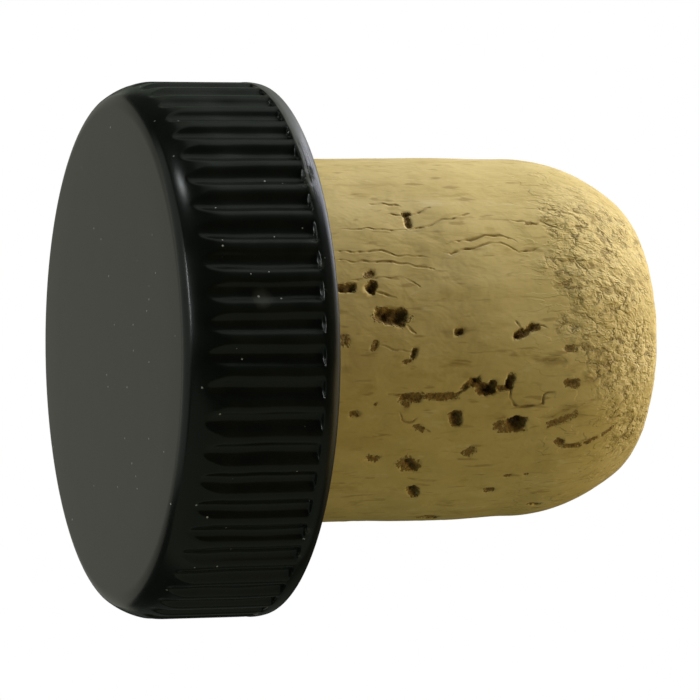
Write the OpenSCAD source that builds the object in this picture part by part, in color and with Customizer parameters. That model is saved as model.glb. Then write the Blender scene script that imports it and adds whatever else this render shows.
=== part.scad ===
// Bar-top bottle stopper: a moulded plastic cap with a fluted grip, glued on a natural cork.
// It stands on the flat crown of its cap, with the cork pointing up along +Z.
// The origin is the middle of the crown's flat face.

/* [Cap] */
// Diameter over the ridges and over the rim band
cap_d = 29; // [27:0.5:34]
// Height from the flat crown to the underside
cap_h = 8.25; // [7.5:0.05:12]
// How far the shoulder draws in between the skirt and the flat crown
shoulder_in = 1.35; // [1.1:0.05:1.8]
// Height over which the shoulder draws in
shoulder_h = 2.5; // [2.2:0.1:3.2]
// Radius where the shoulder turns into the flat crown
crown_r = 0.6; // [0.4:0.1:0.9]
// Radius on the rim's outer edge
rim_r = 0.35; // [0.2:0.05:0.6]

/* [Flutes] */
// Number of flutes round the skirt
flutes = 54; // [40:1:64]
// Depth of a flute below the ridges
flute_depth = 0.32; // [0.2:0.01:0.4]
// Width of the plain band that closes the flutes at the rim
band_w = 0.9; // [0.7:0.1:1.5]
// Radius to which the band is crowned, so that it leans in slightly towards the rim
band_crown_r = 2.2; // [1.5:0.1:4]
// Turn of the first ridge from +X, in degrees
ridge_turn = 1.6; // [0:0.1:6]

/* [Cork] */
// Diameter of the cork where it grips the bottle's neck
shank_d = 19.8; // [18:0.1:21]
// Straight length of the cork below the cap
shank_h = 14.25; // [8:0.05:25]
// Length of the ground, rounded end
end_h = 6.5; // [5.5:0.1:7]
// Radius of the long curve that leads the end in
end_lead_r = 9; // [8:0.1:10.5]
// Radius of the short curve round the flat tip
end_tip_r = 2.1; // [1.5:0.1:3]
// Distance of the cork's axis from the cap's axis, as it was glued
cork_shift = 0.45; // [0:0.05:0.8]
// Depth of the socket that the cork is glued into
socket_h = 3; // [2:0.5:4]

/* [Hidden] */

cap_r = cap_d / 2;
shank_r = shank_d / 2;

// The cork is squeezed a little where it enters the socket, and a film of glue surrounds it.
squeeze = 0.3;
glue_gap = 0.05;
tenon_r = shank_r - squeeze;
socket_r = tenon_r + glue_gap;

// The shoulder is two tangent arcs, and this is the radius of the longer one.
shoulder_r = (pow(shoulder_in, 2) + pow(shoulder_h, 2) - 2 * shoulder_h * crown_r)
    / (2 * (shoulder_in - crown_r));

// A ridge and a flute are arcs of one radius, just under the radius at which they would touch,
// so that a short flat flank joins them. The flank starts a hair inside both arcs. The ridges
// would stand a hair proud of the skirt, which trims each to a narrow land.
land = 0.01;
half_pitch = 180 / flutes;
ridge_top = cap_r + land;
floor_r = cap_r - flute_depth;
wave_h = ridge_top - floor_r;
touch_span = pow(wave_h, 2) + 2 * ridge_top * floor_r * (1 - cos(half_pitch));
touch_lean = wave_h * (1 + cos(half_pitch));
touch_r = (sqrt(pow(touch_lean, 2) + 2 * (1 - cos(half_pitch)) * touch_span) - touch_lean)
    / (2 * (1 - cos(half_pitch)));
wave_r = 0.97 * touch_r;
tuck = 0.003;

// Reach of a cut past the surface that it opens
over = 1;
arc_steps = 8;
$fn = 96;

function polar(r, a) = [r * cos(a), r * sin(a)];

// Points along an arc, counted by its angles about the centre
function arc(centre, r, from, to) =
    [for (i = [0 : arc_steps]) centre + polar(r, from + (to - from) * i / arc_steps)];

function reverse(list) = [for (i = [len(list) - 1 : -1 : 0]) list[i]];

// Two arcs turn a wall at wall_r into a flat end: the long arc is tangent to the wall at lead_z,
// the short one to the flat at flat_z, and both to each other. The points run from wall to flat.
function two_arc_turn(wall_r, lead_z, lead_arc, flat_z, short_arc) =
    let (way = sign(flat_z - lead_z),
         lead_c = [wall_r - lead_arc, lead_z],
         short_z = flat_z - way * short_arc,
         short_x = lead_c[0] + sqrt(pow(lead_arc - short_arc, 2) - pow(short_z - lead_z, 2)),
         meet = atan2(short_z - lead_z, short_x - lead_c[0]))
    concat(arc(lead_c, lead_arc, 0, meet),
           arc([short_x, short_z], short_arc, meet + way, 90 * way));

// Half of the cap's section, without flutes. The band's crown starts a little above the flutes.
module cap_outline() {
    polygon(concat(
        [[0, 0]],
        reverse(two_arc_turn(cap_r, shoulder_h, shoulder_r, 0, crown_r)),
        two_arc_turn(cap_r, cap_h - 0.9 * band_w, band_crown_r, cap_h, rim_r),
        [[0, cap_h]]));
}

// Where the flank between a ridge at angle a and the flute on its side way starts and ends
function flank(a, way) =
    let (ridge = polar(ridge_top - wave_r, a),
         flute = polar(floor_r + wave_r, a + way * half_pitch),
         middle = (ridge + flute) / 2,
         reach = norm(flute - ridge) / 2,
         line = atan2(flute[1] - ridge[1], flute[0] - ridge[0])
             + way * asin((wave_r - tuck) / reach),
         run = sqrt(pow(reach, 2) - pow(wave_r - tuck, 2)))
    [middle - polar(run, line), middle + polar(run, line)];

// Section through the fluted skirt: round ridges on the flanks, round flutes between them
module flute_section() {
    difference() {
        union() {
            polygon([for (i = [0 : flutes - 1]) each concat(
                reverse(flank(2 * i * half_pitch, -1)), flank(2 * i * half_pitch, 1))]);
            for (i = [0 : flutes - 1])
                translate(polar(ridge_top - wave_r, 2 * i * half_pitch)) circle(r = wave_r);
        }
        for (i = [0 : flutes - 1])
            translate(polar(floor_r + wave_r, (2 * i + 1) * half_pitch)) circle(r = wave_r);
    }
}

// What the mould cuts away round the skirt to leave the ridges
module flute_cutter() {
    translate([0, 0, -over])
        rotate(ridge_turn)
        linear_extrude(cap_h - band_w + over)
        difference() {
            circle(r = cap_r + over);
            flute_section();
        }
}

// Moulded cap. The flutes run straight out through the shoulder and stop at the rim band.
module cap() {
    color([0.07, 0.075, 0.07])
    difference() {
        rotate_extrude() cap_outline();
        flute_cutter();
        translate([-cork_shift, 0, cap_h - socket_h]) cylinder(r = socket_r, h = socket_h + over);
    }
}

// Natural cork: a short tenon in the cap's socket, the straight shank and the ground end
module cork_shank() {
    color([0.72, 0.6, 0.38])
    translate([-cork_shift, 0, cap_h])
    rotate_extrude()
        polygon(concat(
            [[0, -socket_h], [tenon_r, -socket_h], [tenon_r, 0], [shank_r, 0]],
            two_arc_turn(shank_r, shank_h, end_lead_r, shank_h + end_h, end_tip_r),
            [[0, shank_h + end_h]]));
}

cap();
cork_shank();
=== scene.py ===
import math
import random

import bmesh
import bpy
from mathutils import Matrix, Vector, kdtree, noise


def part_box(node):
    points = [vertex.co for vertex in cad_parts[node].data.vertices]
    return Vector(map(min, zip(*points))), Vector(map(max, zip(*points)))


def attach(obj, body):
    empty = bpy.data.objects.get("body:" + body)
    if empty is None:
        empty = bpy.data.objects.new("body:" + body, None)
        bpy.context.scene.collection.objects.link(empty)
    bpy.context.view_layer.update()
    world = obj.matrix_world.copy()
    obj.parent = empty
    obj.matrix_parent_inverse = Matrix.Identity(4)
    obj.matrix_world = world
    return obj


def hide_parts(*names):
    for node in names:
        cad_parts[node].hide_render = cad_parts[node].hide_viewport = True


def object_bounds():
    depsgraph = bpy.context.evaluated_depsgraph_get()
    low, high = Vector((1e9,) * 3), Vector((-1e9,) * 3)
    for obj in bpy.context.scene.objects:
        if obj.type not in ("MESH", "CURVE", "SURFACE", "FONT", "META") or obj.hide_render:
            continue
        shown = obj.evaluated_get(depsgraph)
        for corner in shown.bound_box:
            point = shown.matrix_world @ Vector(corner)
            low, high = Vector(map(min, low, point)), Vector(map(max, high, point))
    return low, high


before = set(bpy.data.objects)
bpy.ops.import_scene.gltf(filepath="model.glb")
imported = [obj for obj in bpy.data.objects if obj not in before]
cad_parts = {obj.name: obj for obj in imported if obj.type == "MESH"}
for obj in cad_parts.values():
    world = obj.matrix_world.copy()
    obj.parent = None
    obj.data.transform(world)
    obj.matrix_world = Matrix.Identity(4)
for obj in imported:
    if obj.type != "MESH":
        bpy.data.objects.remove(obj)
cad_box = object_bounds()

# ---------------------------------------------------------------------------------- camera
# The camera sees the stopper as it lies on its side, from a little beyond its crown. It is
# turned a quarter about its own view, so that the stopper's -X side is up in the picture.
camera_aim = Vector((0.00009, 0, 0.01363))
camera_reach = 0.2633
camera_tilt = math.radians(19.0)
camera_roll = math.radians(0.63)
looking = Vector((0, math.cos(camera_tilt), math.sin(camera_tilt)))
rightward = Vector((0, -math.sin(camera_tilt), math.cos(camera_tilt)))
upward = Vector((-1, 0, 0))
camera = bpy.data.objects.new("camera", bpy.data.cameras.new("camera"))
bpy.context.scene.collection.objects.link(camera)
bpy.context.scene.camera = camera
camera.location = camera_aim - camera_reach * looking
camera_axes = Matrix((rightward, upward, -looking)).transposed()
camera.rotation_euler = (camera_axes @ Matrix.Rotation(-camera_roll, 3, "Z")).to_euler()
camera.data.sensor_width = 36
camera.data.lens = 247.6
camera.data.clip_start = 0.01

# ------------------------------------------------------------------------------------- cap
# The cap is one injection moulding in black plastic. Round flutes for grip run out through
# the rounded shoulder and stop at a plain rim band. It is glued over the cork's tenon.
mm = 0.001
cap_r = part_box("cap")[1].x
cap_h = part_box("cap")[1].z
crown_flat_r = 12.98 * mm
shoulder_h = 2.5 * mm
rim_round = 0.35 * mm
band_w = 0.9 * mm
band_crown = 2.2 * mm
band_z = cap_h - band_w
band_crown_z = cap_h - 0.9 * band_w

flutes = 54
flute_depth = 0.32 * mm
flute_reach = 1.2 * mm
flute_sway = 0.005
flute_change = 0.15
first_ridge = math.radians(1.6)
first_tip_turn = -14.9
steps_a_flute = 16

cork_low, cork_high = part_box("cork_shank")
cork_x = (cork_low.x + cork_high.x) / 2
cork_r = (cork_high.x - cork_low.x) / 2
squeeze = 0.3 * mm
glue_gap = 0.05 * mm
tenon_r = cork_r - squeeze
socket_r = tenon_r + glue_gap


def arc(centre, radius, start, stop, spacing):
    """Points along an arc in the (radius, height) plane, by its angles in radians."""
    count = max(2, round(abs(stop - start) * radius / spacing))
    turns = [start + (stop - start) * i / count for i in range(count + 1)]
    return [(centre[0] + radius * math.cos(a), centre[1] + radius * math.sin(a)) for a in turns]


def line(start, stop, count):
    """Evenly spaced points from start to stop, without start."""
    return [tuple(a + (b - a) * i / count for a, b in zip(start, stop)) for i in range(1, count + 1)]


def two_arc_turn(wall_r, lead_z, lead_arc, flat_z, short_arc, spacing):
    """Points from a wall onto a flat end: a long arc off the wall, then a short one."""
    way = 1 if flat_z > lead_z else -1
    short_z = flat_z - way * short_arc
    short_r = wall_r - lead_arc + math.sqrt((lead_arc - short_arc) ** 2 - (short_z - lead_z) ** 2)
    meet = math.atan2(short_z - lead_z, short_r - wall_r + lead_arc)
    long_part = arc((wall_r - lead_arc, lead_z), lead_arc, 0, meet, spacing)
    return long_part + arc((short_r, short_z), short_arc, meet, way * math.pi / 2, spacing)[1:]


def turned(outline, steps):
    """A closed bmesh, spun about Z from an outline that starts and ends on the axis."""
    bm = bmesh.new()
    points = [bm.verts.new((r, 0, z)) for r, z in outline]
    edges = [bm.edges.new(pair) for pair in zip(points, points[1:])]
    bmesh.ops.spin(bm, geom=points + edges, cent=(0, 0, 0), axis=(0, 0, 1), dvec=(0, 0, 0),
                   angle=math.tau, steps=steps, use_merge=True, use_duplicate=False)
    bmesh.ops.remove_doubles(bm, verts=bm.verts, dist=0.001 * mm)
    bmesh.ops.recalc_face_normals(bm, faces=bm.faces)
    bm.normal_update()
    return bm


def finished(bm, name, sharp):
    """The bmesh as an object, smooth but for the edges that turn by more than sharp degrees."""
    mesh = bpy.data.meshes.new(name)
    bm.to_mesh(mesh)
    bm.free()
    mesh.shade_smooth()
    mesh.set_sharp_from_angle(angle=math.radians(sharp))
    piece = bpy.data.objects.new(name, mesh)
    bpy.context.scene.collection.objects.link(piece)
    return piece


def ease(value, low, high):
    """0 below low, 1 above high and a smooth step between."""
    t = min(max((value - low) / (high - low), 0), 1)
    return t * t * (3 - 2 * t)


def facing(turn):
    """Unit vector from the axis; turn is in degrees from the -Y side towards the -X side."""
    return Vector((-math.sin(math.radians(turn)), -math.cos(math.radians(turn)), 0))


flute_pitch = math.tau * cap_r / flutes
flute_arc = ((flute_pitch / 4) ** 2 + (flute_depth / 2) ** 2) / flute_depth


def flute_drop(angle):
    """How far the fluted skirt lies under its ridges: arcs out over a ridge and in along a flute."""
    pitches = (angle - first_ridge) / math.tau * flutes
    across = abs(pitches - round(pitches)) * flute_pitch
    if across < flute_pitch / 4:
        return flute_arc - math.sqrt(flute_arc ** 2 - across ** 2)
    across = flute_pitch / 2 - across
    return flute_depth - flute_arc + math.sqrt(flute_arc ** 2 - across ** 2)


def soft_min(a, b, blend):
    """The smaller of two lengths, rounded over a blend where they cross."""
    near = max(blend - abs(a - b), 0)
    return min(a, b) - near * near / (4 * blend)


def crown_turn(flat_r, spacing):
    """Points from the flat crown to the skirt: a soft curve, a slight edge and a long arc."""
    lean, far_lean = math.radians(45), math.radians(37.3)
    soft, edge = 1.1 * mm, 0.12 * mm
    part = arc((flat_r, soft), soft, -math.pi / 2, -lean, spacing)
    r, z = part[-1]
    centre = (r - edge * math.cos(lean), z + edge * math.sin(lean))
    part += arc(centre, edge, -lean, -far_lean, 0.2 * spacing)[1:]
    r, z = part[-1]
    sweep = (shoulder_h - z) / math.sin(far_lean)
    rest = (cap_r - r) / (sweep - sweep * math.cos(far_lean))
    long_part = arc((0, shoulder_h), sweep, -far_lean, 0, spacing)[1:]
    return part + [(cap_r - (sweep - x) * rest, y) for x, y in long_part]


wall_rings = (-0.14, -0.07, -0.035, 0, 0.035, 0.07)
cap_outline = [(0, 0)] + line((0, 0), (crown_flat_r, 0), 5)[:-1]
cap_outline += crown_turn(crown_flat_r, 0.07 * mm)
cap_outline += line((cap_r, shoulder_h), (cap_r, band_z - 0.3 * mm), 11)
cap_outline += [(cap_r, band_z + ring * mm) for ring in wall_rings]
cap_outline += two_arc_turn(cap_r, band_crown_z, band_crown, cap_h, rim_round, 0.08 * mm)[1:]
cap_outline += line(cap_outline[-1], (socket_r, cap_h), 5)
cap_outline += line((socket_r, cap_h), (socket_r, cork_low.z), 3)
cap_outline += line((socket_r, cork_low.z), (0, cork_low.z), 3)
cap_bm = turned(cap_outline, flutes * steps_a_flute)

# Small scars: (height, turn, radius, depth), in mm and degrees; a depth below 0 is a burr.
scars = [
    (7.25, 23, 0.25, 0.05), (7.3, 17.5, 0.3, 0.05), (7.25, 12, 0.3, 0.04), (7.2, 5, 0.25, 0.05),
    (7.25, -2, 0.2, 0.04), (7.2, 31, 0.3, 0.05), (7.4, 38, 0.5, 0.06), (7.6, 40, 0.4, 0.05),
    (7.3, 36, 0.35, -0.03), (7.2, 46, 0.25, 0.04), (7.2, 64, 0.3, 0.05), (7.2, -33, 0.2, 0.04),
    (7.2, -66, 0.35, 0.04),
]
chance = random.Random(11)
scars += [(7.25 + chance.uniform(-0.1, 0.1), chance.uniform(80, 320), chance.uniform(0.15, 0.35),
           chance.uniform(0.02, 0.05)) for i in range(34)]
# Each flute's tip on the shoulder carries a small burr, painted pale there as a painted glint.
for i in range(flutes):
    tip_turn = first_tip_turn + 360 / flutes * i + chance.uniform(-0.8, 0.8)
    scars.append((1.4 + chance.uniform(-0.12, 0.2), tip_turn, chance.uniform(0.12, 0.26), -0.025))
cap_scars = [(facing(turn) * cap_r + Vector((0, 0, height * mm)), radius * mm, depth * mm)
             for height, turn, radius, depth in scars]

# The skirt takes its flutes, which sway by up to flute_sway radians and change in depth by up to
# a share of flute_change. The socket moves under the cork, whose axis lies beside the cap's.
for vert in cap_bm.verts:
    x, y, z = vert.co
    r = math.hypot(x, y)
    if r > cap_r - flute_reach and z < band_z + 0.1 * mm:
        angle = math.atan2(y, x)
        unevenness = noise.noise(Vector((x * 300, y * 300, z * 500)))
        drop = flute_drop(angle + flute_sway * unevenness) * (1 + flute_change * unevenness)
        skirt_r = cap_r - drop
        skirt_r = skirt_r + (cap_r - skirt_r) * ease(z, band_z - 0.1 * mm, band_z + 0.06 * mm)
        scale = soft_min(skirt_r, r, 0.05 * mm) / r
        vert.co.x, vert.co.y = x * scale, y * scale
    elif z > cork_low.z - 0.1 * mm and r < cap_r - 1.5 * mm:
        vert.co.x += cork_x * ease(-r, -13 * mm, -10.5 * mm)

# Pale paint: real wear on the nicks by the rim band, and a painted glint on each flute-tip burr.
scuff_and_glint = cap_bm.verts.layers.float.new("scuff_and_glint")
cap_tree = kdtree.KDTree(len(cap_bm.verts))
cap_bm.verts.ensure_lookup_table()
for vert in cap_bm.verts:
    cap_tree.insert(vert.co, vert.index)
cap_tree.balance()
for centre, radius, depth in cap_scars:
    for co, index, distance in cap_tree.find_range(centre, radius * 1.3):
        ragged = 1 + 0.5 * noise.noise(co * 5000)
        near = ease(-distance, -radius * ragged, 0)
        vert = cap_bm.verts[index]
        outward = Vector((co.x, co.y, 0)).normalized()
        vert.co -= outward * depth * near
        vert[scuff_and_glint] = max(vert[scuff_and_glint], near * (0.6 + 0.4 * noise.noise(co * 9000)))
cap = finished(cap_bm, "cap_moulding", 50)


class Nodes:
    """A material's node tree, so that a node and what feeds it are written in one call."""

    def __init__(self, name):
        self.material = bpy.data.materials.new(name)
        self.material.use_nodes = True
        self.tree = self.material.node_tree
        self.shader = self.tree.nodes["Principled BSDF"]
        self.place = self.tree.nodes.new("ShaderNodeTexCoord").outputs["Object"]

    def add(self, kind, inputs=None, **settings):
        node = self.tree.nodes.new("ShaderNode" + kind)
        for key, value in settings.items():
            setattr(node, key, value)
        for key, value in (inputs or {}).items():
            self.feed(node.inputs[key], value)
        return node

    def feed(self, socket, value):
        if isinstance(value, bpy.types.NodeSocket):
            self.tree.links.new(value, socket)
        else:
            socket.default_value = value

    def stretched(self, scale):
        """Object coordinates multiplied by scale, so that a pattern runs along an axis."""
        return self.add("Mapping", {"Vector": self.place, "Scale": scale}).outputs[0]

    def noise(self, scale, detail=3.0, rough=0.5, warp=0.0, vector=None):
        vector = vector or self.place
        return self.add("TexNoise", {"Vector": vector, "Scale": scale, "Detail": detail,
                                     "Roughness": rough, "Distortion": warp}).outputs["Fac"]

    def span(self, value, low, high, to_low=0.0, to_high=1.0):
        """value from low..high to to_low..to_high, clamped, with smooth ends."""
        return self.add("MapRange", {"Value": value, "From Min": low, "From Max": high,
                                     "To Min": to_low, "To Max": to_high},
                        interpolation_type="SMOOTHSTEP").outputs[0]

    def math(self, operation, a, b=0.0):
        node = self.add("Math", {0: a, 1: b}, operation=operation)
        return node.outputs[0]

    def mix(self, amount, a, b):
        """Colour a towards colour b."""
        node = self.add("Mix", data_type="RGBA")
        self.feed(node.inputs["Factor"], amount)
        self.feed(node.inputs[6], a)
        self.feed(node.inputs[7], b)
        return node.outputs[2]

    def attribute(self, name):
        return self.add("Attribute", attribute_name=name).outputs["Fac"]

    def bump(self, height, distance, strength=1.0, normal=None):
        inputs = {"Height": height, "Distance": distance, "Strength": strength}
        if normal:
            inputs["Normal"] = normal
        return self.add("Bump", inputs).outputs[0]


# Dust caught in the flutes: (height, turn, radius), in mm and degrees.
specks = [
    (2.2, 31, 0.05), (2.2, 23, 0.06), (5.1, 24, 0.05), (6.7, 26, 0.05), (3.5, 15.5, 0.05),
    (4.5, 16, 0.05), (3.9, 11, 0.08), (5.1, 10.5, 0.06), (2.9, -2, 0.06), (6.2, -26, 0.05),
    (7.2, -33.5, 0.05), (3.5, -46, 0.05), (3.7, -53, 0.06), (5.2, 38, 0.07), (6.1, 37, 0.05),
]


def speck_depth(turn):
    """Depth of the skirt under its ridges at a turn."""
    return 2 * flute_drop(math.radians(-90 - turn))


def black_plastic():
    """Black moulded plastic: a satin skin, dust in its texture, pale scuffs, rim scratches, a painted
    sheen on the rim's -X side and painted glints at the flute tips.
    """
    n = Nodes("black_plastic")
    cloud = n.noise(500, 3, 0.5)
    axes = n.add("SeparateXYZ", {"Vector": n.place}).outputs
    from_axis = n.add("VectorMath", {0: n.stretched((1, 1, 0))}, operation="LENGTH").outputs["Value"]
    on_band = n.span(axes["Z"], band_z, band_z + 0.1 * mm)
    on_rim = n.math("MULTIPLY", on_band, n.span(axes["X"], -7.6 * mm, -9 * mm))
    on_rim = n.math("MULTIPLY", on_rim, n.span(from_axis, cap_r - 0.6 * mm, cap_r - 0.4 * mm))
    streaks = n.noise(1, 5, 0.6, 0, n.stretched((110, 110, 7000)))
    wear_and_sheen = n.math("MULTIPLY", n.span(streaks, 0.44, 0.62), n.span(n.noise(160, 2), 0.3, 0.5))
    # The rim band's -X side, where the key lamp falls, is painted pale all over as a painted sheen,
    # besides its real streaked scratches.
    wear_and_sheen = n.math("MAXIMUM", wear_and_sheen, n.span(axes["X"], -10 * mm, -11.3 * mm, 0, 0.8))
    scratches_and_sheen = n.math("MULTIPLY", wear_and_sheen, on_rim)
    cells = n.add("TexVoronoi", {"Vector": n.place, "Scale": 1500.0, "Randomness": 1.0})
    chosen = n.span(n.add("SeparateColor", {"Color": cells.outputs["Color"]}).outputs[0], 0.86, 0.9)
    dust = n.math("MULTIPLY", n.span(cells.outputs["Distance"], 0.11, 0.05), chosen)
    for height, turn, radius in specks:
        spot = facing(turn) * (cap_r - 0.5 * speck_depth(turn)) + Vector((0, 0, height * mm))
        away = n.add("VectorMath", {0: n.place, 1: spot}, operation="DISTANCE").outputs["Value"]
        dust = n.math("MAXIMUM", dust, n.span(away, radius * mm, 0.4 * radius * mm))
    smudge = facing(10.7) * cap_r + Vector((0, 0, 4.1 * mm))
    away = n.add("VectorMath", {0: n.place, 1: smudge}, operation="DISTANCE").outputs["Value"]
    away = n.math("ADD", away, n.math("MULTIPLY", n.noise(1500, 3), 0.4 * mm))
    smeared = n.span(away, 0.95 * mm, 0.45 * mm)
    # Pale scuffs on the nicks; on the flute tips they are painted glints.
    scuffs_and_glints = n.math("MULTIPLY", n.attribute("scuff_and_glint"), n.span(n.noise(5000, 3), 0.35, 0.6))
    pale = n.math("MAXIMUM", scuffs_and_glints, n.math("MULTIPLY", scratches_and_sheen, 0.75))
    pale = n.math("MAXIMUM", pale, n.math("MULTIPLY", smeared, 0.22))
    plain = n.mix(n.span(cloud, 0.3, 0.7), (0.0045, 0.0058, 0.0040, 1), (0.0065, 0.0078, 0.0055, 1))
    marked = n.mix(pale, plain, (0.12, 0.122, 0.1, 1))
    n.feed(n.shader.inputs["Base Color"], n.mix(dust, marked, (0.34, 0.34, 0.3, 1)))
    satin = n.span(cloud, 0.3, 0.7, 0.2, 0.23)
    satin = n.math("ADD", satin, n.span(axes["Z"], 1.4 * mm, 3 * mm, 0, 0.03))
    satin = n.math("ADD", satin, n.span(axes["Z"], cap_h - 0.4 * mm, cap_h - 0.25 * mm, 0, 0.2))
    dull = n.math("MAXIMUM", n.math("MULTIPLY", pale, 0.6), n.math("MULTIPLY", scratches_and_sheen, 0.5))
    n.feed(n.shader.inputs["Roughness"], n.math("MAXIMUM", satin, dull))
    n.shader.inputs["Specular IOR Level"].default_value = 0.3
    skin = n.bump(n.noise(3000, 2), 0.001 * mm)
    n.feed(n.shader.inputs["Normal"], n.bump(pale, 0.01 * mm, 0.6, skin))
    return n.material


cap.data.materials.append(black_plastic())
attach(cap, "root")
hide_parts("cap")

# ------------------------------------------------------------------------------------ cork
# The shank is natural cork, punched from bark and ground smooth, with its end ground round.
# The bark's pores show as dark pits that lie along the shank, with cracks between them, and
# the ground end shows the crumbly end of the grain.
cork_base = cap_h
shank_h = 14.25 * mm
end_lead = 9 * mm
end_tip = 2.1 * mm
end_z = cork_high.z
cork_sides = 336


def cork_radius(z):
    """Radius of the ground cork at a height above the cap's rim."""
    if z <= shank_h:
        return cork_r
    reach = cork_r - end_lead + math.sqrt(max(end_lead ** 2 - (z - shank_h) ** 2, 0))
    tip_z = end_z - cork_base - end_tip
    tip_r = cork_r - end_lead + math.sqrt((end_lead - end_tip) ** 2 - (tip_z - shank_h) ** 2)
    over_tip = tip_r + math.sqrt(max(end_tip ** 2 - max(z - tip_z, 0) ** 2, 0))
    return min(reach, over_tip) if z > tip_z else reach


def on_cork(height, turn):
    """Point on the cork's skin: mm above the rim, degrees from the -Y side towards -X."""
    spot = facing(turn) * cork_radius(height * mm)
    return spot + Vector((0, 0, cork_base + height * mm))


# Pits: (height, turn, length, width, lean, depth), in mm and degrees. The length lies along
# the shank, turned by lean.
pits = [
    (1.95, 16, 1.1, 0.5, 0, 0.5), (3.35, 16.3, 0.75, 0.6, 60, 0.55),
    (3.3, 20.3, 0.6, 0.45, 20, 0.35), (4.35, 7, 1.9, 0.95, -4, 0.6),
    (6.1, 42, 0.55, 0.35, 10, 0.45), (6.05, 39, 0.9, 0.35, 85, 0.45),
    (8.1, 1.9, 0.55, 0.42, 0, 0.5), (11.55, 1.2, 0.75, 0.45, 20, 0.6),
    (12.0, 2.3, 0.9, 0.36, 35, 0.5), (12.4, 3.2, 0.6, 0.36, 10, 0.5),
    (5.55, -4.6, 0.7, 0.32, 70, 0.45), (5.2, -6.8, 0.6, 0.25, 10, 0.3),
    (3.35, -2, 0.6, 0.4, 55, 0.3), (1.7, 0, 0.7, 0.75, 0, 0.2), (5.5, -18.3, 1.4, 0.55, 3, 0.4),
    (7.2, -18.0, 2.0, 0.5, 0, 0.35), (8.6, -14.6, 0.7, 0.35, 45, 0.4),
    (9.05, -13.4, 0.6, 0.45, 10, 0.6), (9.7, -15.8, 1.2, 0.65, -12, 0.7),
    (10.1, -14.6, 0.5, 0.5, 0, 0.6), (10.55, -15.6, 0.6, 0.3, 0, 0.45),
    (11.05, -14, 0.9, 0.45, 75, 0.65), (8.2, -25.4, 0.75, 0.95, 20, 0.55),
    (2.45, -23.2, 0.6, 0.4, 10, 0.4), (6.2, -28.4, 0.7, 0.45, -30, 0.3),
    (11.65, -27.3, 1.05, 0.85, 0, 0.85), (10.75, -28, 0.8, 0.6, 0, 0.3),
    (11.5, -29.6, 1.7, 0.4, 0, 0.25), (13.85, -27.3, 1.0, 0.5, 20, 0.3),
    (14.5, -26.0, 1.5, 0.5, 22, 0.24), (14.4, -34.5, 0.75, 0.42, -30, 0.4),
    (15.2, -36.2, 1.4, 0.36, 0, 0.35), (16.3, -35.2, 1.4, 0.3, 22, 0.3),
    (17.3, -32.8, 1.1, 0.24, 32, 0.18), (14.6, -14.3, 0.9, 0.55, 0, 0.4),
    (14.5, -3.4, 0.8, 0.4, 0, 0.3), (19.0, -16.6, 0.35, 0.6, 0, 0.12),
    (19.2, -24.5, 0.3, 0.4, 0, 0.08), (3.95, -39.7, 0.8, 0.5, -15, 0.35),
    (6.1, -42.6, 1.5, 1.05, -25, 0.3), (6.2, -42.8, 1.2, 0.45, -50, 0.55),
    (6.95, -55.4, 1.15, 0.6, -65, 0.6), (9.35, -37.6, 0.8, 0.7, 40, 0.25),
    (11.3, -55.5, 0.7, 0.45, 0, 0.4), (12.05, -48.3, 0.45, 0.25, 0, 0.2),
    (13.05, -48, 0.4, 0.2, 10, 0.15), (14.55, -67.5, 0.8, 0.4, -20, 0.45),
    (5.3, -20.3, 0.5, 0.45, 0, 0.2), (3.6, -20, 0.35, 0.2, 30, 0.15),
    (12.9, 38.3, 0.5, 0.25, 5, 0.25),
]

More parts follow.
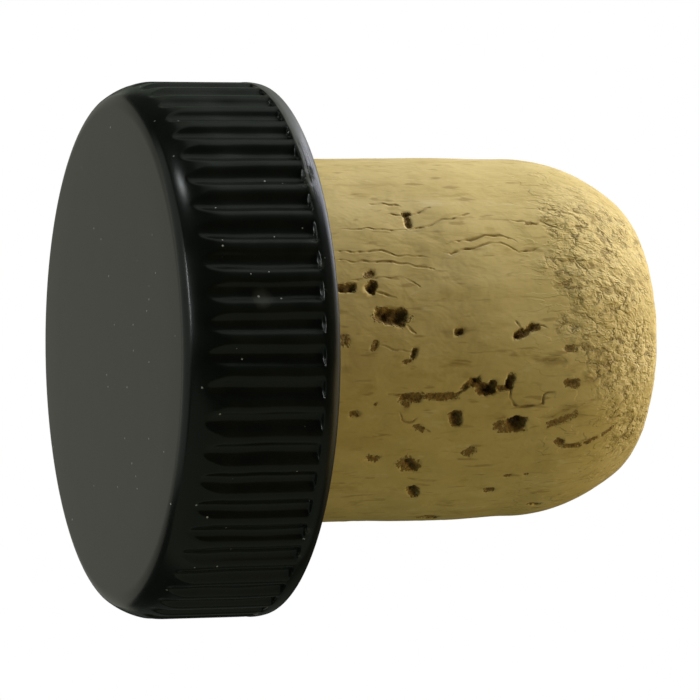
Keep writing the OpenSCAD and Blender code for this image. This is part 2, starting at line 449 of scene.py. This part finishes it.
# Cracks: (width in mm, depth in mm, [(height, turn), ...]), from one end to the other.
cracks = [
    (0.10, 0.12, [(4.1, 46.3), (5.0, 47), (5.6, 46.5), (5.9, 45.3)]),
    (0.07, 0.09, [(2.0, 36), (3.2, 36.4), (4.8, 36.3), (5.1, 35.5), (5.9, 35.6)]),
    (0.12, 0.17, [(5.0, 42.3), (5.9, 41.6), (6.5, 42.2), (7.6, 45)]),
    (0.12, 0.17, [(6.1, 36), (6.8, 36.6), (8.0, 39.4), (8.8, 40.6), (9.7, 42.2)]),
    (0.09, 0.11, [(1.3, 28.4), (2.6, 27.8), (4.1, 28.3), (5.0, 26.8), (7.0, 25.8)]),
    (0.08, 0.10, [(1.3, 25.1), (3.2, 24.6), (4.8, 24.3), (6.0, 22.9), (7.0, 21.8)]),
    (0.07, 0.09, [(2.0, 18.4), (3.3, 18.8), (5.0, 19.4), (6.1, 16.5)]),
    (0.09, 0.12, [(3.5, 14.8), (4.0, 13.9), (4.7, 12.6)]),
    (0.09, 0.14, [(5.1, 4.6), (5.35, 3.2), (5.7, 2.0)]),
    (0.12, 0.15, [(7.9, 30.2), (8.5, 31.6), (9.2, 31.9), (10.2, 33.6), (11.0, 33.7),
                  (11.6, 32.6), (12.0, 30.8)]),
    (0.14, 0.17, [(7.6, 27.6), (8.1, 27.3), (8.6, 28.4), (9.2, 28.6), (10, 30.1), (11, 31.1),
                  (11.9, 27.8)]),
    (0.11, 0.14, [(11.9, 27.4), (12.5, 28.1), (13.2, 29.1)]),
    (0.14, 0.17, [(11.9, 39.8), (12.8, 38.4), (13.4, 38.2), (13.7, 39.3), (14.1, 37.4), (14.6, 35.9)]),
    (0.10, 0.15, [(11.3, 5.6), (11.5, 3.9), (11.7, 2.4)]),
    (0.08, 0.11, [(12.4, 3.4), (12.9, 3.7), (13.2, 3.2)]),
    (0.06, 0.08, [(3.6, -1.9), (4.5, -3.0), (5.4, -4.0)]),
    (0.15, 0.22, [(4.2, -17.2), (5.2, -17.4), (6.4, -17.6), (7.4, -17), (8.3, -16.8), (8.8, -14.8)]),
    (0.12, 0.20, [(11.05, -15), (11.15, -18.4), (11.35, -20.8), (11.7, -22), (12.1, -21.5),
                  (13.0, -20.9), (13.1, -18.2), (13.7, -16.8)]),
    (0.09, 0.11, [(5.0, -23.2), (5.1, -25.5), (5.7, -26.2), (6.1, -25.2)]),
    (0.09, 0.12, [(6.4, -28.8), (6.9, -29.8)]),
    (0.09, 0.11, [(13.2, -25.2), (13.7, -25.3), (14.2, -23.2), (15.0, -22)]),
    (0.10, 0.12, [(13.1, -7.2), (13.9, -6.4), (14.3, -7.4)]),
]

# Stains without a pit: (height, turn, length, width, strength), in mm and degrees.
stains = [
    (1.8, -9, 0.9, 0.6, 0.4), (7.4, 2, 0.9, 0.5, 0.4), (4.4, 56.8, 3.4, 0.3, 0.2),
    (12.8, 49, 1.4, 0.5, 0.15), (5.3, -21, 0.6, 0.8, 0.35), (10, 71, 0.5, 0.7, 0.12),
    (8.8, -28, 0.8, 0.3, 0.2), (13.4, -36, 0.9, 0.4, 0.2), (13.5, -7.2, 1.8, 0.5, 0.45),
    (17.0, -7.5, 1.0, 0.5, 0.4), (15.9, -13.4, 1.6, 0.4, 0.4), (14.7, -22.5, 1.6, 0.9, 0.25),
    (2.6, -8, 2.2, 2.6, 0.16), (3.0, -34, 3.6, 0.9, 0.14), (9.5, -2.5, 1.2, 0.6, 0.14),
]

# The rest of the bark's pores and cracks, scattered round the sides that the lists leave out.
chance = random.Random(23)
for i in range(58):
    length = chance.uniform(0.35, 1.5)
    spot = (chance.uniform(0.8, 15), chance.uniform(82, 290))
    pits.append((*spot, length, length * chance.uniform(0.35, 0.7), chance.gauss(0, 18),
                 chance.uniform(0.2, 0.65)))
for i in range(16):
    height, turn = chance.uniform(0.5, 9), chance.uniform(85, 285)
    path = [(height, turn)]
    for j in range(chance.randint(3, 6)):
        height, turn = height + chance.uniform(0.5, 1.4), turn + chance.gauss(0, 1.6)
        path.append((height, turn))
    cracks.append((chance.uniform(0.08, 0.14), chance.uniform(0.09, 0.18), path))

cork_outline = [(0, cork_low.z)] + line((0, cork_low.z), (tenon_r, cork_low.z), 3)
cork_outline += line((tenon_r, cork_low.z), (tenon_r, cork_base), 2)
cork_outline += line((tenon_r, cork_base), (cork_r, cork_base), 2)
cork_outline += line((cork_r, cork_base), (cork_r, cork_base + shank_h), 72)[:-1]
cork_outline += two_arc_turn(cork_r, cork_base + shank_h, end_lead, end_z, end_tip, 0.13 * mm)
cork_outline += line(cork_outline[-1], (0, end_z), 20)
cork_bm = turned(cork_outline, cork_sides)


def refine(bm, spots):
    """Halves the cells of bm that lie within reach of the spots, given as (centre, reach)."""
    bm.faces.ensure_lookup_table()
    tree = kdtree.KDTree(len(bm.faces))
    for face in bm.faces:
        tree.insert(face.calc_center_median(), face.index)
    tree.balance()
    near = {index for spot, reach in spots for co, index, away in tree.find_range(spot, reach)}
    edges = {edge for index in near for edge in bm.faces[index].edges}
    bmesh.ops.subdivide_edges(bm, edges=list(edges), cuts=1, use_grid_fill=True)
    bm.normal_update()


pit_spots = [(on_cork(height, turn), max(length, width) * 0.6 * mm)
             for height, turn, length, width, lean, depth in pits]
crack_paths = []
crack_spots = []
for width, depth, path in cracks:
    places = [on_cork(height, turn) for height, turn in path]
    crack_paths.append((width * mm, depth * mm, places))
    for a, b in zip(places, places[1:]):
        count = max(1, math.ceil((b - a).length / (0.2 * mm)))
        crack_spots += [a.lerp(b, i / count) for i in range(count + 1)]
# Cells near a pit or a crack are halved, and near a crack halved again, for crisp edges.
refine(cork_bm, pit_spots + [(spot, 0.28 * mm) for spot in crack_spots])
refine(cork_bm, [(spot, 0.16 * mm) for spot in crack_spots])

pore = cork_bm.verts.layers.float.new("pore")
crack = cork_bm.verts.layers.float.new("crack")
stain = cork_bm.verts.layers.float.new("stain")
crumbly = cork_bm.verts.layers.float.new("crumbly")
cork_bm.verts.ensure_lookup_table()
sink = [0.0] * len(cork_bm.verts)
lifted = [0.0] * len(cork_bm.verts)
cork_tree = kdtree.KDTree(len(cork_bm.verts))
for vert in cork_bm.verts:
    cork_tree.insert(vert.co, vert.index)
cork_tree.balance()


def across_skin(offset, turn, lean):
    """An offset on the skin as (along, around), turned by lean; both in metres."""
    around = Vector((-math.cos(math.radians(turn)), math.sin(math.radians(turn)), 0))
    along = offset.z
    if along:
        along = math.copysign(math.hypot(along, offset.dot(facing(turn))), along)
    side = offset.dot(around)
    c, s = math.cos(math.radians(lean)), math.sin(math.radians(lean))
    return along * c + side * s, side * c - along * s


for height, turn, length, width, lean, depth in pits:
    centre = on_cork(height, turn)
    for co, index, distance in cork_tree.find_range(centre, max(length, width) * 0.8 * mm):
        u, v = across_skin(co - centre, turn, lean)
        u, v = abs(u) / (length * mm / 2), abs(v) / (width * mm / 2)
        reach = (u ** 3.2 + v ** 3.2) ** (1 / 3.2)
        reach += 0.3 * noise.noise(co * 2300) + 0.24 * noise.noise(co * 5200)
        hollow = ease(-reach, -1.02, -0.72) * (0.3 + 0.7 * ease(depth, 0.25, 0.6))
        floor = 0.7 + 0.6 * noise.noise(co * 2600) + 0.25 * noise.noise(co * 5200)
        sink[index] = max(sink[index], 0.65 * hollow * depth * mm * floor)
        vert = cork_bm.verts[index]
        vert[pore] = max(vert[pore], min(1.35 - reach, 1) * (0.35 + 0.9 * depth))

for width, depth, places in crack_paths:
    lengths = [0.0]
    for a, b in zip(places, places[1:]):
        lengths.append(lengths[-1] + (b - a).length)
    for part, (a, b) in enumerate(zip(places, places[1:])):
        for co, index, distance in cork_tree.find_range((a + b) / 2, (b - a).length / 2 + 0.3 * mm):
            wander = Vector((noise.noise(co * 1700), noise.noise(co * 1700 + Vector((9, 0, 0))),
                             noise.noise(co * 1700 + Vector((0, 9, 0))))) * 0.12 * mm
            moved = co + wander
            t = min(max((moved - a).dot(b - a) / (b - a).length_squared, 0), 1)
            off = (moved - a.lerp(b, t)).length
            along = (lengths[part] + t * (b - a).length) / lengths[-1]
            local = width * (0.45 + 0.55 * math.sin(math.pi * along) ** 0.5)
            local *= 1 + 0.6 * noise.noise(co * 2200)
            cleft = ease(-off, -local * 0.5, 0)
            lip = ease(-abs(off - 1.3 * width), -0.8 * width, 0) * math.sin(math.pi * along)
            lifted[index] = max(lifted[index], 0.014 * lip * (0.2 + 1.8 * noise.noise(co * 1800)))
            sink[index] = max(sink[index], cleft * depth * 0.4)
            vert = cork_bm.verts[index]
            taper = 0.6 + 0.4 * math.sin(math.pi * along) ** 0.5
            vert[crack] = max(vert[crack], (0.85 + 2 * depth / mm) * taper * (1 - off / (0.22 * mm)))

for height, turn, length, width, strength in stains:
    centre = on_cork(height, turn)
    for co, index, distance in cork_tree.find_range(centre, max(length, width) * mm):
        u, v = across_skin(co - centre, turn, 0)
        reach = math.hypot(u / (length * mm / 2), v / (width * mm / 2)) + 0.4 * noise.noise(co * 1500)
        vert = cork_bm.verts[index]
        vert[stain] = max(vert[stain], strength * ease(-reach, -1.2, -0.4))

# The ground end crumbles, but less where it was ground hardest: (turn, half spread) in degrees.
smooth_sides = [(92, 52), (-80, 46)]
# How far its crumbs stand up, how far the shank swells on its -X and +X sides, and how far the end
# is ground down further on the +X side, about low_turn; in mm and degrees.
crumb_lift = 0.075
swell_lift = 0.06
ground_down = 0.09
low_turn = -84
# The crumbs are bent by noise_vector, which follows the clock unless it is seeded.
noise.seed_set(7)
for vert in cork_bm.verts:
    co = vert.co
    if co.z < cork_base - 0.01 * mm:
        continue
    lengthwise = Vector((co.x, co.y, co.z * 0.6))
    lift = 0.03 * noise.noise(co * 230) + 0.014 * noise.noise(lengthwise * 700)
    lift += 0.007 * noise.noise(lengthwise * 1900) + lifted[vert.index]
    turn = math.degrees(math.atan2(-co.x, -co.y))
    height = (co.z - cork_base) / mm
    swell = max(math.sin(math.radians(turn)), 0) ** 2
    lift += swell_lift * swell * ease(height, 3, 8) * ease(-height, -13, -9.5)
    low_side = ease(-abs(turn - low_turn), -48, -16)
    lift += swell_lift * low_side * ease(height, 5.5, 8) * ease(-height, -12.2, -10.8)
    lift -= ground_down * low_side * ease(height, 11.6, 13.8) * ease(-height, -20.3, -18.8)
    ground = max(ease(-abs(turn - middle), -spread, -0.5 * spread) for middle, spread in smooth_sides)
    frayed = height + 1.5 * noise.noise(co * 420) + noise.noise(co * 1100)
    frayed -= 2.4 * ease(-turn, 0, 28)
    end = ease(frayed, 13.1, 15.6)
    tip = ease(height, 18.8, 20.4)
    vert[crumbly] = end * (1 - 0.85 * ground) * (1 - 0.5 * tip) * (0.7 + 0.6 * noise.noise(co * 420))
    crumb = noise.noise(lengthwise * 1300 + 0.5 * noise.noise_vector(co * 900))
    crumb += 0.55 * noise.noise(lengthwise * 2900)
    lift += vert[crumbly] * crumb_lift * crumb
    vert.co += vert.normal * (lift * mm - sink[vert.index])

for vert in cork_bm.verts:
    vert.co.x += cork_x
cork = finished(cork_bm, "cork_shank_ground", 75)


def natural_cork():
    """Cork: tan with a lengthwise grain, short dark flecks, speckled brown in the pores with painted
    shade deep in them, and painted shade in the crevices of the crumbly end.
    """
    n = Nodes("natural_cork")
    grain = n.stretched((1, 1, 0.35))
    dashes = n.stretched((1, 1, 0.2))
    flakes = n.stretched((1, 1, 0.7))
    blotch = n.noise(330, 4, 0.6, 0.4, grain)
    streak = n.noise(1400, 4, 0.6, 0.4, grain)
    tan = n.mix(n.span(blotch, 0.3, 0.7), (0.595, 0.45, 0.158, 1), (0.69, 0.535, 0.215, 1))
    tan = n.mix(n.span(streak, 0.53, 0.72, 0, 0.5), tan, (0.44, 0.31, 0.085, 1))
    tan = n.mix(n.span(streak, 0.42, 0.25, 0, 0.35), tan, (0.78, 0.66, 0.36, 1))
    fleck = n.span(n.noise(3000, 2, 0.5, 0.3, dashes), 0.61, 0.72)
    tan = n.mix(n.math("MULTIPLY", fleck, 0.5), tan, (0.30, 0.19, 0.05, 1))
    crumbly = n.attribute("crumbly")
    wander = n.add("TexNoise", {"Vector": flakes, "Scale": 1400.0, "Detail": 3.0}).outputs["Color"]
    bent = n.add("VectorMath", {0: wander, 1: (1.1 * mm, 1.1 * mm, 1.1 * mm), 2: flakes},
                 operation="MULTIPLY_ADD").outputs[0]
    crumbs = n.add("TexVoronoi", {"Vector": bent, "Scale": 1900.0},
                   feature="DISTANCE_TO_EDGE").outputs["Distance"]
    rubble = n.noise(2000, 2, 0.5, 0.3, flakes)
    layers = n.noise(1500, 3, 0.5, 0.5, grain)
    grit = n.noise(5200, 2, 0.6, 0.4, flakes)
    loose = n.math("ADD", crumbs, n.math("MULTIPLY", n.math("SUBTRACT", grit, 0.5), 0.5))
    gap = n.math("MULTIPLY", n.span(loose, 0.14, -0.02), n.span(n.noise(1300, 3), 0.5, 0.62))
    # Dark brown in the gaps and low spots between the crumbs is painted shade in the crevices.
    crevice_shade = n.math("MAXIMUM", n.span(rubble, 0.44, 0.35, 0, 0.8), gap)
    crevice_shade = n.math("MAXIMUM", crevice_shade, n.span(layers, 0.38, 0.31, 0, 0.7))
    crevice_shade = n.math("MULTIPLY", crevice_shade, n.span(crumbly, 0.05, 0.8, 0.05, 1))
    tan = n.mix(n.math("MULTIPLY", crevice_shade, 0.8), tan, (0.24, 0.16, 0.04, 1))
    tan = n.mix(n.attribute("stain"), tan, (0.24, 0.14, 0.03, 1))
    speckle = n.math("SUBTRACT", n.noise(5500, 3, 0.7), 0.5)
    split = n.attribute("crack")
    tan = n.mix(n.span(split, 0.3, 1.0, 0, 0.3), tan, (0.32, 0.21, 0.06, 1))
    cleft = n.math("ADD", split, n.math("MULTIPLY", speckle, 0.5))
    tan = n.mix(n.span(cleft, 0.76, 1.05, 0, 0.75), tan, (0.19, 0.115, 0.03, 1))
    pores = n.attribute("pore")
    ragged = n.math("ADD", pores, n.math("MULTIPLY", speckle, n.span(pores, 0.02, 0.3, 0, 1.5)))
    # Pores are brown, darkening to near black as painted shade where a pit is deepest.
    pore_brown_and_shade = n.mix(n.span(ragged, 0.4, 1.15), (0.3, 0.185, 0.05, 1), (0.04, 0.021, 0.008, 1))
    inside = n.span(ragged, 0.2, 0.42)
    n.feed(n.shader.inputs["Base Color"], n.mix(inside, tan, pore_brown_and_shade))
    n.shader.inputs["Roughness"].default_value = 0.85
    n.shader.inputs["Specular IOR Level"].default_value = 0.25
    skin = n.bump(n.noise(650, 3, 0.5, 0.3, flakes), 0.11 * mm)
    skin = n.bump(n.noise(2600, 3, 0.5, 0.2, grain), 0.012 * mm, 1.0, skin)
    height = n.add("SeparateXYZ", {"Vector": n.place}).outputs["Z"]
    near_end = n.span(height, cork_base + 11 * mm, cork_base + 15 * mm)
    scale_edges = n.math("MULTIPLY", n.span(layers, 0.5, 0.54), near_end)
    skin = n.bump(scale_edges, 0.03 * mm, 1.0, skin)
    lumps = n.math("MULTIPLY", rubble, 0.9)
    lumps = n.math("ADD", lumps, n.math("MULTIPLY", n.span(gap, 0, 1), -0.35))
    lumps = n.math("ADD", lumps, n.math("MULTIPLY", n.span(loose, 0, 0.35), 0.25))
    lumps = n.math("ADD", lumps, n.math("MULTIPLY", grit, 0.1))
    lumps = n.math("SUBTRACT", lumps, 0.55)
    skin = n.bump(n.math("MULTIPLY", lumps, n.span(crumbly, 0.0, 0.8)), 0.15 * mm, 1.0, skin)
    skin = n.bump(n.span(split, 1.0, 0.5), 0.025 * mm, 1.0, skin)
    torn = n.math("MULTIPLY", n.noise(5500, 3, 0.7), inside)
    n.feed(n.shader.inputs["Normal"], n.bump(torn, 0.1 * mm, 1.0, skin))
    return n.material


cork.data.materials.append(natural_cork())
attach(cork, "root")
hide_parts("cork_shank")

# ---------------------------------------------------------------------------------- studio
# The stopper is lit as a small product on white card. A strong soft lamp stands on its -X side
# beyond the cork's end, fainter ones fill from the other sides, and two small ones draw the
# bright lines on the shoulder. The card shows white, and the floor is seen only from above.
scene = bpy.context.scene
scene.view_settings.view_transform = "Standard"
stopper_middle = (cad_box[0] + cad_box[1]) / 2


def soft_lamp(name, turn, rise, away, size, watts, tint):
    """A lamp of size (wide, tall) that faces the stopper from turn and rise, in degrees."""
    lamp = bpy.data.lights.new(name, "AREA")
    lamp.shape = "RECTANGLE"
    lamp.size, lamp.size_y = size
    lamp.energy = watts
    lamp.color = tint
    body = bpy.data.objects.new(name, lamp)
    rise = math.radians(rise)
    toward = facing(turn) * math.cos(rise) + Vector((0, 0, math.sin(rise)))
    body.location = stopper_middle + toward * away
    body.rotation_euler = (-toward).to_track_quat("-Z", "Y").to_euler()
    scene.collection.objects.link(body)


soft_lamp("key_lamp", 98, 52, 0.5, (0.34, 0.42), 4.15, (0.98, 1.0, 1.12))
soft_lamp("side_lamp", 90, 14, 0.55, (0.5, 0.4), 0.19, (0.88, 1.0, 0.8))
soft_lamp("sky_lamp", 142, 19, 0.55, (0.5, 0.4), 0.09, (0.88, 1.0, 0.8))
soft_lamp("crown_side_lamp", 81, -31, 0.5, (0.07, 0.035), 0.15, (0.95, 1.0, 1.0))
soft_lamp("front_lamp", 39, -64, 0.5, (0.17, 0.05), 0.75, (0.95, 1.0, 1.0))
soft_lamp("tip_lamp", 0, 68, 0.6, (0.5, 0.5), 0.95, (1.15, 1.0, 0.72))
soft_lamp("warm_lamp", -34, 55, 0.6, (0.4, 0.3), 0.58, (1.3, 1.0, 0.38))
soft_lamp("low_lamp", -67, -15, 0.6, (0.95, 1.3), 0.8, (0.9, 1.0, 0.78))
soft_lamp("far_lamp", -140, 19, 0.55, (0.5, 0.4), 0.03, (0.9, 1.0, 0.8))
soft_lamp("crown_lamp", 180, -22, 0.5, (0.5, 0.5), 0.228, (1.02, 1.0, 0.85))
soft_lamp("under_lamp", 150, -72, 0.5, (0.6, 0.6), 0.5, (0.95, 1.0, 0.9))

world = bpy.data.worlds.new("studio")
scene.world = world
world.use_nodes = True
world_nodes, world_links = world.node_tree.nodes, world.node_tree.links
world_nodes.clear()
ray = world_nodes.new("ShaderNodeLightPath")
room = world_nodes.new("ShaderNodeBackground")
room.inputs["Color"].default_value = (0.85, 1.0, 0.95, 1)
room.inputs["Strength"].default_value = 0.025
card = world_nodes.new("ShaderNodeBackground")
card.inputs["Color"].default_value = (1, 1, 1, 1)
card.inputs["Strength"].default_value = 1
shown = world_nodes.new("ShaderNodeMixShader")
sky = world_nodes.new("ShaderNodeOutputWorld")
world_links.new(ray.outputs["Is Camera Ray"], shown.inputs[0])
world_links.new(room.outputs[0], shown.inputs[1])
world_links.new(card.outputs[0], shown.inputs[2])
world_links.new(shown.outputs[0], sky.inputs["Surface"])

floor_reach = 2
floor_z = -0.1 * mm
floor_bm = bmesh.new()
bmesh.ops.create_grid(floor_bm, x_segments=1, y_segments=1, size=floor_reach)
bmesh.ops.translate(floor_bm, verts=floor_bm.verts, vec=(0, 0, floor_z))
floor = finished(floor_bm, "floor", 30)
floor.visible_diffuse = False
floor.visible_glossy = False
floor.visible_shadow = False
paper = Nodes("floor_paper")
paper_tone = paper.mix(paper.noise(30, 2), (0.80, 0.80, 0.79, 1), (0.84, 0.84, 0.83, 1))
paper.feed(paper.shader.inputs["Base Color"], paper_tone)
paper.shader.inputs["Roughness"].default_value = 0.9
below = paper.add("NewGeometry").outputs["Backfacing"]
clear = paper.add("BsdfTransparent").outputs[0]
sheet = paper.add("MixShader", {0: below, 1: paper.shader.outputs[0], 2: clear})
paper.feed(paper.tree.nodes["Material Output"].inputs["Surface"], sheet.outputs[0])
floor.data.materials.append(paper.material)
